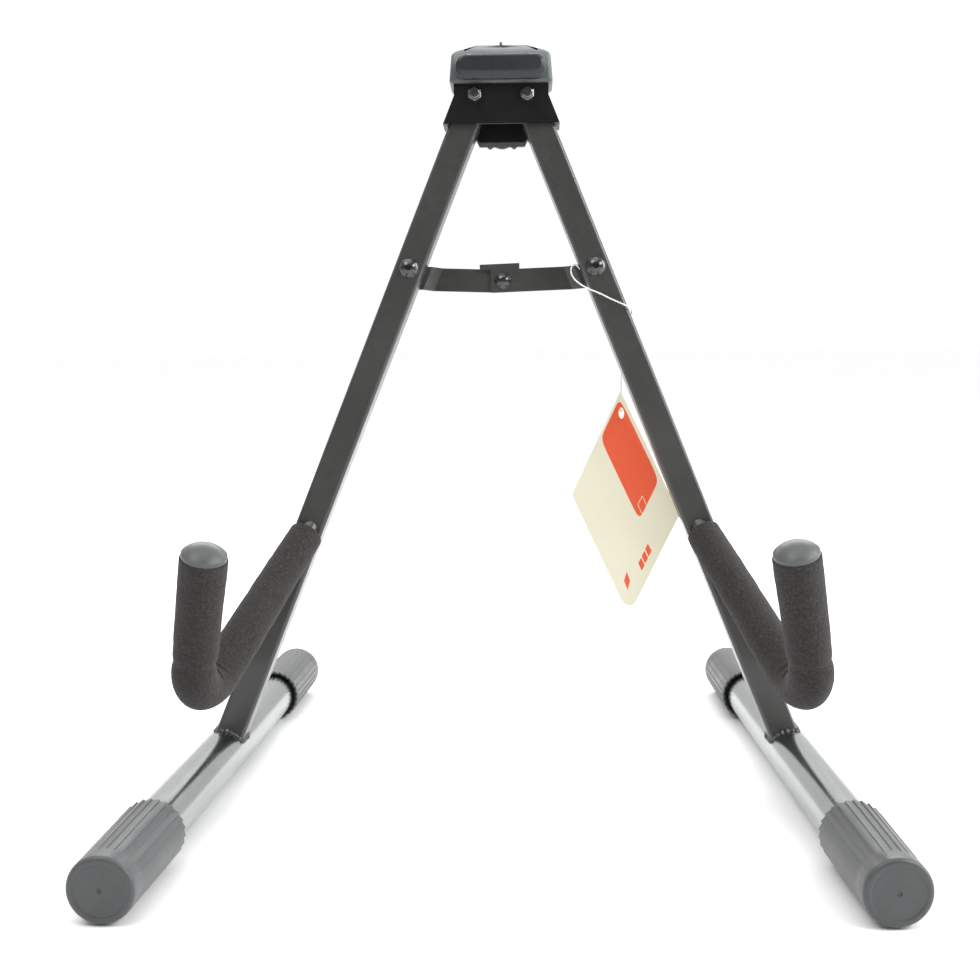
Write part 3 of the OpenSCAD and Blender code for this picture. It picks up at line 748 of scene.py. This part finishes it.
class STAND_OT_tag(bpy.types.Operator):
    """Cuts the card tag with rounded corners and a round hole"""

    bl_idname = "stand.tag"
    bl_label = "Hang Tag"

    def execute(self, context):
        outline = []
        for i, r in enumerate((0, 5 * MM, 5 * MM, 0.8 * MM)):
            corner = TAG_CORNERS[i]
            if not r:
                outline.append(Vector((corner.x, 0, corner.y)))
                continue
            before = (TAG_CORNERS[i - 1] - corner).normalized()
            after = (TAG_CORNERS[(i + 1) % 4] - corner).normalized()
            half = before.angle(after) / 2
            inward = (before + after).normalized()
            centre = corner + inward * (r / math.sin(half))
            reach = math.pi / 2 - half
            for k in range(11):
                p = centre - Matrix.Rotation(-reach + reach * k / 5, 2) @ inward * r
                outline.append(Vector((p.x, 0, p.y)))
        mesh = bpy.data.meshes.new("card_tag")
        mesh.from_pydata([p + Vector((0, -TAG_THICK / 2, 0)) for p in outline], [], [tuple(range(len(outline)))])
        tag = bpy.data.objects.new("card_tag", mesh)
        bpy.context.collection.objects.link(tag)
        choose(tag)
        bpy.ops.object.mode_set(mode="EDIT")
        bpy.ops.mesh.select_all(action="SELECT")
        bpy.ops.mesh.extrude_region_move(TRANSFORM_OT_translate={"value": (0, TAG_THICK, 0)})
        bpy.ops.object.mode_set(mode="OBJECT")
        outward(tag)
        deselect()
        bpy.ops.mesh.primitive_cylinder_add(
            vertices=40, radius=2.6 * MM, depth=10 * MM, location=(0, 0, -TAG_HOLE), rotation=(math.pi / 2, 0, 0)
        )
        punch = bpy.context.object
        punch.scale = (0.65, 1.25, 1)
        bpy.ops.object.transform_apply(location=True, rotation=True, scale=True)
        cut_away(tag, punch)
        modify(tag, "BEVEL", width=0.12 * MM, segments=2, limit_method="ANGLE", angle_limit=math.radians(60))
        dress(smooth(settle(tag, TAG_FRAME), 40), "tag_card")
        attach(tag, "right_side")
        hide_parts("hang_tag")
        return {"FINISHED"}


class STAND_OT_foam(bpy.types.Operator):
    """Shapes the foam sleeves of the two cradle arms, with the creases inside their bends"""

    bl_idname = "stand.foam"
    bl_label = "Foam Sleeves"

    def execute(self, context):
        sizes = context.scene.stand_sizes
        straight_in, straight_out = (ARM_ROOT - BEND_IN).length, (ARM_TIP - BEND_OUT).length
        arc = BEND_R * BEND_TURN
        whole = straight_in + arc + straight_out
        start = (BEND_IN - BEND_C).normalized()

        def at(s):
            if s <= straight_in:
                return ARM_ROOT.lerp(BEND_IN, s / straight_in)
            if s <= straight_in + arc:
                a = (s - straight_in) / BEND_R
                return BEND_C + BEND_R * (math.cos(a) * start - math.sin(a) * TO_ROOT)
            return BEND_OUT.lerp(ARM_TIP, (s - straight_in - arc) / straight_out)

        def way(s):
            if s <= straight_in:
                return -TO_ROOT
            if s <= straight_in + arc:
                a = (s - straight_in) / BEND_R
                return (-math.sin(a) * start - math.cos(a) * TO_ROOT).normalized()
            return TO_TIP

        def radius(s):
            if s <= straight_in:
                t = s / straight_in
                return sizes.foam_root_r + (sizes.foam_bend_r - sizes.foam_root_r) * t
            if s <= straight_in + arc:
                return sizes.foam_bend_r
            t = (s - straight_in - arc) / straight_out
            return sizes.foam_bend_r + (sizes.foam_tip_r - sizes.foam_bend_r) * t

        lip = 1.1 * MM
        outer = [lip * (1 - math.cos(math.pi / 2 * i / 4)) for i in range(4)]
        count = 150
        outer += [lip + (whole - 2 * lip) * i / count for i in range(count + 1)]
        outer += [whole - lip * (1 - math.cos(math.pi / 2 * i / 4)) for i in range(3, -1, -1)]
        radii = []
        for i, s in enumerate(outer):
            r = radius(s)
            if i < 4:
                r -= lip * (1 - math.sin(math.pi / 2 * i / 4))
            if i > len(outer) - 5:
                r -= lip * (1 - math.sin(math.pi / 2 * (len(outer) - 1 - i) / 4))
            radii.append(r)
        # The bore: wider round the tip cap's collar, close round the rod below it.
        inner = [whole - 0.05 * MM, whole - 12 * MM, straight_in + arc, straight_in + arc / 2, straight_in, 0.05 * MM]
        inside = [ROD_R + 2.05 * MM] * 2 + [ROD_R + 0.1 * MM] * 4
        points = [at(s) for s in outer + inner]
        folds = [
            (straight_in + arc * 0.18, 1.0), (straight_in + arc * 0.42, 1.7), (straight_in + arc * 0.7, 1.5),
            (straight_in + arc * 0.98, 0.9),
        ]
        total = len(outer)

        def surface(i, run, a, out):
            if i >= total:
                return 0.0
            s = outer[i]
            p = points[i] + out * radii[i]
            edge = min(1.0, s / (4 * MM), (whole - s) / (4 * MM))
            wave = noise.noise(p * 90) * 0.28 + noise.noise(p * 320) * 0.13
            inner_side = max(0.0, out.dot((BEND_C - points[i]).normalized()))
            dent = 0.0
            for place, deep in folds:
                shift = (s - place) / MM + 0.8 * noise.noise(p * 200)
                dent += deep * (math.exp(-((shift / 0.75) ** 2)) - 0.4 * math.exp(-(((abs(shift) - 2.1) / 1.2) ** 2)))
            pinch = 0.75 * math.exp(-(((s - straight_in - arc - 3 * MM) / (2.4 * MM)) ** 2))
            swell = 0.55 * math.exp(-(((s - straight_in - arc * 0.5) / (11 * MM)) ** 2))
            return (wave * edge - dent * inner_side**3 - pinch + swell * (1 - inner_side)) * MM

        sleeve = swept("right_foam", points, radii + inside, 72, True, surface, [way(s) for s in outer + inner])
        # The sleeve is pressed flat where it meets the front of the leg.
        into_lean = LEAN_FRAME.inverted()
        for vert in sleeve.data.vertices:
            p = into_lean @ vert.co
            if p.y > -LEG_HALF - 0.05 * MM:
                p.y = -LEG_HALF - 0.05 * MM
                vert.co = LEAN_FRAME @ p
        dress(smooth(sleeve, 50), "black_foam")
        other = dress(smooth(twin(sleeve, "left_foam"), 50), "black_foam")
        for piece, side in ((sleeve, "right"), (other, "left")):
            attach(piece, side + "_side")
            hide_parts(side + "_foam_sleeve")
        return {"FINISHED"}


class STAND_OT_end_caps(bpy.types.Operator):
    """Moulds the four fluted rubber end caps of the base tubes"""

    bl_idname = "stand.end_caps"
    bl_label = "End Caps"

    def execute(self, context):
        sizes = context.scene.stand_sizes
        columns_each = 8
        sides = sizes.flute_count * columns_each
        end_r, mouth_r = CAP_END_R, CAP_MOUTH_R
        # The closed end: a gate mark at its middle, a shallow dish and a raised rim that rolls over.
        rings = [(0.75 * MM, 0.7 * MM), (1.1 * MM, 0.15 * MM), (1.5 * MM, 0.0), (6 * MM, 0.3 * MM)]
        rings += [(end_r - 3.6 * MM, 0.45 * MM), (end_r - 3.0 * MM, 0.12 * MM)]
        for i in range(7):
            a = math.pi / 2 * i / 6
            rings.append((end_r - CAP_ROUND * (1 - math.sin(a)), CAP_ROUND * (1 - math.cos(a))))
        body = []
        for z in (4.5, 8.5, 10, 12, 16, 24, 34, 46, 58, 66, 70, 71.5, 72.6):
            t = (z * MM - CAP_ROUND) / (CAP_LEN - CAP_ROUND)
            body.append((end_r + (mouth_r - end_r) * t, z * MM))
        rings += body
        # The mouth and its relief, then the bore down to the closed end.
        rings += [
            (mouth_r - 0.25 * MM, CAP_LEN), (mouth_r - 1.2 * MM, CAP_LEN), (mouth_r - 1.5 * MM, 72.8 * MM),
            (mouth_r - 1.65 * MM, 67.2 * MM), (CAP_BORE, CAP_LEN - CAP_RELIEF), (CAP_BORE, CAP_END + 0.1 * MM),
        ]
        cap = drawn_out("right_front_rubber_cap", rings, sides)
        # Saw-tooth flutes: each column stands lower than the one before it, a little deeper at the mouth.
        choose(cap)
        bpy.ops.object.mode_set(mode="EDIT")
        step = 2 * math.pi / sides
        fluted = {round(z, 6) for r, z in body[2:]} | {round(CAP_LEN, 6)}
        columns = {}
        for vert in bmesh.from_edit_mesh(cap.data).verts:
            z, turn = round(vert.co.z, 6), math.atan2(vert.co.y, vert.co.x) - math.pi / 2
            column = round(turn / step) % columns_each
            if z in fluted and column and vert.co.xy.length > mouth_r - 1.35 * MM:
                columns.setdefault((z, column), []).append(vert.index)
        for (z, column), indices in columns.items():
            deep = sizes.flute_depth * min(1.0, (z - 8.5 * MM) / (3.5 * MM)) * (0.6 + 0.4 * (z / CAP_LEN) ** 6)
            k = 1 - deep * column / (columns_each - 1) / mouth_r
            bpy.ops.mesh.select_all(action="DESELECT")
            mesh = bmesh.from_edit_mesh(cap.data)
            mesh.verts.ensure_lookup_table()
            for index in indices:
                mesh.verts[index].select = True
            mesh.select_flush(True)
            bmesh.update_edit_mesh(cap.data)
            bpy.ops.transform.resize(value=(k, k, 1), center_override=(0, 0, z))
        bpy.ops.object.mode_set(mode="OBJECT")
        flat = Matrix.Translation((0, 0, TUBE_LEN / 2 + CAP_END)) @ Matrix.Rotation(math.pi, 4, "X")
        back = Matrix.Translation((0, 0, -TUBE_LEN / 2 - CAP_END))
        rear = twin(cap, "right_rear_rubber_cap", TUBE_FRAME @ back)
        settle(cap, TUBE_FRAME @ flat)
        front_left, rear_left = twin(cap, "left_front_rubber_cap"), twin(rear, "left_rear_rubber_cap")
        for piece in (cap, rear, front_left, rear_left):
            side, end = piece.name.split("_")[:2]
            for vert in piece.data.vertices:
                vert.co.z = max(vert.co.z, 0.0)
            dress(smooth(piece, 20), "cap_rubber")
            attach(piece, side + "_side")
            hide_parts(f"{side}_{end}_cap")
        return {"FINISHED"}


class STAND_OT_saddle(bpy.types.Operator):
    """Moulds the rubber saddle cover with its domed top, side grooves and rear tongue"""

    bl_idname = "stand.saddle"
    bl_label = "Saddle Cover"

    def execute(self, context):
        deselect()
        bpy.ops.mesh.primitive_cube_add(size=1, location=(0, 0, (COVER_LOW + COVER_SHOULDER) / 2))
        cover = bpy.context.object
        cover.name = cover.data.name = "rubber_saddle"
        cover.scale = (2 * COVER_X, 2 * COVER_Y, COVER_SHOULDER - COVER_LOW)
        bpy.ops.object.transform_apply(location=True, rotation=True, scale=True)
        bpy.ops.object.mode_set(mode="EDIT")
        top = COVER_SHOULDER
        select_where(cover, lambda co: co.z > top - 1e-5)
        bpy.ops.transform.resize(value=(0.955, 0.93, 1), center_override=(0, 0, top))
        # The crown rises in four steps: how far up, and how much narrower each way.
        for rise, kx, ky in ((1.5, 0.9, 0.95), (1.2, 0.83, 0.93), (1.9, 0.7, 0.86), (0.9, 0.74, 0.82)):
            bpy.ops.mesh.extrude_region_move(TRANSFORM_OT_translate={"value": (0, 0, rise * MM)})
            top += rise * MM
            bpy.ops.transform.resize(value=(kx, ky, 1), center_override=(0, 0, top))
        bpy.ops.object.mode_set(mode="OBJECT")
        modify(cover, "BEVEL", width=3.2 * MM, segments=4, limit_method="ANGLE", angle_limit=math.radians(28))
        outward(cover)
        # The hollow that takes the bracket's top.
        hollow = rounded_block("hollow", (2 * HOLLOW_X, 2 * PLATE_OUT + 0.1 * MM, 44 * MM), (0, 0, -0.9 * MM), 0)
        cut_away(cover, hollow)
        # Slanted grooves over both shoulders and the moulding slot on the crown, front and back.
        for s in (-1, 1):
            for y in (-1, 1):
                groove = rounded_block("groove", (8.6 * MM, 5 * MM, 1.3 * MM), (0, 0, 0), 0.5 * MM, 3)
                slant = Matrix.Rotation(s * math.radians(27), 4, "Y")
                place = Matrix.Translation((s * 16.4 * MM, y * 10.4 * MM, 26 * MM)) @ slant
                cut_away(cover, settle(groove, place))
        for y in (-1, 1):
            slot = rounded_block("slot", (1.5 * MM, 4 * MM, 1.9 * MM), (0, y * 9.8 * MM, 26.2 * MM), 0.5 * MM, 3)
            cut_away(cover, slot)
        rib = rounded_block("rib", (1.3 * MM, 3.2 * MM, 2.2 * MM), (0, -7.6 * MM, 28.2 * MM), 0.5 * MM, 3)
        modify(cover, "BOOLEAN", operation="UNION", solver="EXACT", object=rib)
        bpy.data.objects.remove(rib, do_unlink=True)
        dress(smooth(settle(cover, HEAD_FRAME), 32), "grey_rubber")
        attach(cover, "head")
        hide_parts("saddle_cover")
        # Tongue over the rear plate, with a scalloped end.
        deselect()
        wide, low, high = 12.8 * MM, -24.2 * MM, 7 * MM
        outline = [(-wide, low)]
        for i in range(25):
            t = i / 24
            x = -wide + 2 * wide * t
            dip = 0.0
            for centre, half, deep in ((0.24, 0.06, 1.4), (0.76, 0.06, 1.4), (0.5, 0.15, 1.1)):
                dip = max(dip, deep * max(0.0, 1 - ((t - centre) / half) ** 2))
            outline.append((x, low - dip * MM))
        outline += [(wide, low), (23.5 * MM, -2 * MM), (23.5 * MM, high), (-23.5 * MM, high), (-23.5 * MM, -2 * MM)]
        flat = []
        for x, z in outline:
            if not flat or abs(flat[-1].x - x) + abs(flat[-1].z - z) > 1e-6:
                flat.append(Vector((x, PLATE_OUT + 0.02 * MM, z)))
        mesh = bpy.data.meshes.new("rubber_tongue")
        mesh.from_pydata(flat, [], [tuple(range(len(flat)))])
        tongue = bpy.data.objects.new("rubber_tongue", mesh)
        bpy.context.collection.objects.link(tongue)
        choose(tongue)
        bpy.ops.object.mode_set(mode="EDIT")
        bpy.ops.mesh.select_all(action="SELECT")
        bpy.ops.mesh.extrude_region_move(TRANSFORM_OT_translate={"value": (0, 2.3 * MM, 0)})
        bpy.ops.object.mode_set(mode="OBJECT")
        outward(tongue)
        for s in (-1, 1):
            deselect()
            bpy.ops.mesh.primitive_cylinder_add(
                vertices=40, radius=6 * MM, depth=20 * MM, location=(s * PIVOT_X, PLATE_OUT, 0),
                rotation=(math.pi / 2, 0, 0),
            )
            window = bpy.context.object
            bpy.ops.object.transform_apply(location=True, rotation=True, scale=True)
            cut_away(tongue, window)
        modify(tongue, "BEVEL", width=0.5 * MM, segments=2, limit_method="ANGLE", angle_limit=math.radians(50))
        dress(smooth(settle(tongue, HEAD_FRAME), 35), "grey_rubber")
        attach(tongue, "head")
        return {"FINISHED"}


class STAND_OT_bumper(bpy.types.Operator):
    """Moulds the front bumper pad: a long rounded bar with a lip below it"""

    bl_idname = "stand.bumper"
    bl_label = "Bumper Pad"

    def execute(self, context):
        deselect()
        bpy.ops.mesh.primitive_cube_add(size=1, location=(0, 0.8 * MM, 0))
        pad = bpy.context.object
        pad.name = pad.data.name = "rubber_bumper"
        pad.scale = (50 * MM, 3.4 * MM, 13.6 * MM)
        bpy.ops.object.transform_apply(location=True, rotation=True, scale=True)
        # Ends rounded as seen from the front.
        bpy.ops.object.mode_set(mode="EDIT")
        mesh = bmesh.from_edit_mesh(pad.data)
        for edge in mesh.edges:
            a, b = edge.verts
            edge.select = abs(a.co.y - b.co.y) > 1e-4
        bmesh.update_edit_mesh(pad.data)
        bpy.ops.mesh.bevel(offset=6.2 * MM, segments=8)
        # The front face: a broad lit upper band that rolls over, and a narrower one that falls away below.
        select_where(pad, lambda co: co.y < -0.8 * MM)
        bpy.ops.mesh.inset(thickness=2.7 * MM, depth=1.7 * MM)
        bpy.ops.transform.translate(value=(0, 0, 1.5 * MM))
        bpy.ops.object.mode_set(mode="OBJECT")
        modify(pad, "BEVEL", width=0.7 * MM, segments=4, limit_method="ANGLE", angle_limit=math.radians(20))
        outward(pad)
        place = HEAD_FRAME @ Matrix.Translation((0, -12.75 * MM - 2.5 * MM, 14 * MM))
        dress(smooth(settle(pad, place), 40), "dark_rubber")
        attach(pad, "head")
        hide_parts("bumper_pad")
        return {"FINISHED"}


class STAND_OT_pivot_nuts(bpy.types.Operator):
    """Turns the chamfered lock nuts of the two pivot bolts, with their round collars"""

    bl_idname = "stand.pivot_nuts"
    bl_label = "Pivot Nuts"

    def execute(self, context):
        parts = []
        for side in (-1, 1):
            seat = HEAD_FRAME @ Matrix.Translation((side * PIVOT_X, -PLATE_OUT - WASHER_T, 0))
            place = seat @ Matrix.Rotation(math.pi / 2, 4, "X")
            for rings, sides in (
                (((3.5, 0), (4.02, 0.35), (4.02, 2.1), (3.45, 2.6), (2.9, 2.65)), 6),
                (((3.4, 0.1), (3.4, 2.4), (2.95, 2.8), (2.85, 3.7), (2.3, 4.1), (2.02, 4.12)), 32),
            ):
                parts.append(drawn_out("nut_part", [(r * MM, z * MM) for r, z in rings], sides, place))
        choose(parts[0])
        for part in parts:
            part.select_set(True)
        bpy.ops.object.join()
        nuts = bpy.context.object
        nuts.name = nuts.data.name = "lock_nuts"
        dress(smooth(nuts, 25), "lock_nut")
        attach(nuts, "head")
        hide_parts("pivot_nuts")
        return {"FINISHED"}


class STAND_OT_welds(bpy.types.Operator):
    """Lays the weld beads between the legs and the base tubes"""

    bl_idname = "stand.welds"
    bl_label = "Weld Beads"

    def execute(self, context):
        radius = context.scene.stand_sizes.weld_r
        half, corner = LEG_HALF - 0.1 * MM, 2 * MM
        outline = []
        for quarter in range(4):
            turn = math.pi / 2 * quarter
            for i in range(8):
                a = turn + math.pi / 2 * i / 7
                diagonal = Vector((math.cos(turn + math.pi / 4), math.sin(turn + math.pi / 4)))
                centre = diagonal * math.sqrt(2) * (half - corner)
                outline.append(centre + Vector((math.cos(a), math.sin(a))) * corner)
        dense = []
        for i, p in enumerate(outline):
            q = outline[(i + 1) % len(outline)]
            steps = max(1, int((q - p).length / (0.7 * MM)))
            dense += [p.lerp(q, s / steps) for s in range(steps)]
        axis = (TUBE_FRAME.to_3x3() @ Vector((0, 0, 1))).normalized()
        base = TUBE_FRAME.translation
        along = (LEG_FRAME.to_3x3() @ Vector((0, 0, -1))).normalized()
        route = []
        for p in dense:
            start = LEG_FRAME @ Vector((p.x, p.y, -0.3))
            offset = start - base
            u, v = along - axis * along.dot(axis), offset - axis * offset.dot(axis)
            a, b, c = u.dot(u), 2 * u.dot(v), v.dot(v) - TUBE_R**2
            route.append(start + along * ((-b - math.sqrt(b * b - 4 * a * c)) / (2 * a)))
        radii = [radius * (0.8 + 0.25 * math.sin(i * 1.7) + 0.35 * noise.noise(p * 700)) for i, p in enumerate(route)]
        bead = swept("right_weld_bead", route, radii, 10, closed=True)
        dress(smooth(bead, 60), "black_paint")
        other = dress(smooth(twin(bead, "left_weld_bead"), 60), "black_paint")
        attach(bead, "right_side")
        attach(other, "left_side")
        return {"FINISHED"}


class STAND_OT_frame_finishes(bpy.types.Operator):
    """Gives every remaining steel and plastic part of the frame its finish"""

    bl_idname = "stand.frame_finishes"
    bl_label = "Frame Finishes"

    def execute(self, context):
        # The head bracket takes the darkened copy of the paint, which is painted shade.
        special = {"head_bracket": "shaded_bracket_paint", "pivot_bolts": "threaded_steel"}
        for row in frame["record"]["subparts"]:
            node = row["node"]
            piece = frame["nodes"][node]
            slot = special.get(node, row["material_slot"])
            piece.data.materials.clear()
            piece.data.materials.append(finish_of(slot))
        return {"FINISHED"}


class STAND_OT_stage(bpy.types.Operator):
    """Sets the pale floor, the soft studio lights and the white surroundings"""

    bl_idname = "stand.stage"
    bl_label = "Stage"

    def execute(self, context):
        deselect()
        bpy.ops.mesh.primitive_plane_add(size=60, location=(0, 0, -0.0002))
        floor = bpy.context.object
        floor.name = "floor"
        floor.data.materials.append(plain_floor("pale_floor", (0.93, 0.93, 0.93)))
        world = bpy.data.worlds.new("studio")
        context.scene.world = world
        world.use_nodes = True
        tree = world.node_tree
        glow = tree.nodes["Background"]
        # The room is white behind the stand and overhead, and dimmer in front of it.
        way = tree.nodes.new("ShaderNodeTexCoord").outputs["Generated"]
        split = tree.nodes.new("ShaderNodeSeparateXYZ")
        tree.links.new(way, split.inputs[0])
        back = tree.nodes.new("ShaderNodeMapRange")
        back.interpolation_type = "SMOOTHSTEP"
        for key, value in (("From Min", -0.55), ("From Max", 0.45), ("To Min", FRONT_GLOW), ("To Max", BACK_GLOW)):
            back.inputs[key].default_value = value
        tree.links.new(split.outputs["Y"], back.inputs["Value"])
        seen = tree.nodes.new("ShaderNodeMix")
        seen.inputs["B"].default_value = SEEN_GLOW
        tree.links.new(tree.nodes.new("ShaderNodeLightPath").outputs["Is Camera Ray"], seen.inputs["Factor"])
        tree.links.new(back.outputs["Result"], seen.inputs["A"])
        tree.links.new(seen.outputs["Result"], glow.inputs["Strength"])
        glow.inputs["Color"].default_value = (1, 1, 1, 1)
        sun = bpy.data.lights.new("sky", "SUN")
        sun.energy, sun.angle = 1.35, math.radians(60)
        sky = bpy.data.objects.new("sky", sun)
        sky.rotation_euler = (math.radians(14), math.radians(-10), 0)
        bpy.context.collection.objects.link(sky)
        aim = Vector((0, 0, 0.18))
        for name, place, size, power in (
            ("key", (-0.9, -0.9, 1.7), (0.8, 0.8), 9),
            ("right_strip", (1.5, -0.1, 0.8), (0.5, 1.4), 18),
            ("right_front", (1.0, -0.75, 1.0), (0.5, 0.5), 9),
            ("top_back", (0, 1.35, 1.2), (2.0, 0.5), 20),
        ):
            data = bpy.data.lights.new(name, "AREA")
            data.shape, data.size, data.size_y, data.energy = "RECTANGLE", *size, power
            light = bpy.data.objects.new(name, data)
            light.location = place
            light.rotation_euler = (aim - Vector(place)).to_track_quat("-Z", "Y").to_euler()
            bpy.context.collection.objects.link(light)
        context.scene.view_settings.view_transform = "Standard"
        return {"FINISHED"}


STEPS = (
    STAND_OT_camera, STAND_OT_string, STAND_OT_tag, STAND_OT_foam, STAND_OT_end_caps, STAND_OT_saddle,
    STAND_OT_bumper, STAND_OT_pivot_nuts, STAND_OT_welds, STAND_OT_frame_finishes, STAND_OT_stage,
)


class STAND_PT_panel(bpy.types.Panel):
    """Lists the stand's steps, sizes and finishes"""

    bl_idname = "STAND_PT_panel"
    bl_label = "Guitar Stand"
    bl_space_type = "VIEW_3D"
    bl_region_type = "UI"
    bl_category = "Guitar Stand"

    def draw(self, context):
        for group in (context.scene.stand_sizes, context.scene.stand_finish):
            box = self.layout.box()
            for key in group.__annotations__:
                box.prop(group, key)
        for step in STEPS:
            self.layout.operator(step.bl_idname)


CLASSES = (StandSizes, StandFinish, *STEPS, STAND_PT_panel)


def register():
    for kind in CLASSES:
        bpy.utils.register_class(kind)
    bpy.types.Scene.stand_sizes = PointerProperty(type=StandSizes)
    bpy.types.Scene.stand_finish = PointerProperty(type=StandFinish)


def unregister():
    del bpy.types.Scene.stand_sizes
    del bpy.types.Scene.stand_finish
    for kind in reversed(CLASSES):
        bpy.utils.unregister_class(kind)


def main():
    register()
    bpy.ops.stand.camera()
    bpy.ops.stand.string()
    bpy.ops.stand.tag()
    bpy.ops.stand.foam()
    bpy.ops.stand.end_caps()
    bpy.ops.stand.saddle()
    bpy.ops.stand.bumper()
    bpy.ops.stand.pivot_nuts()
    bpy.ops.stand.welds()
    bpy.ops.stand.frame_finishes()
    bpy.ops.stand.stage()


if __name__ == "__main__":
    main()
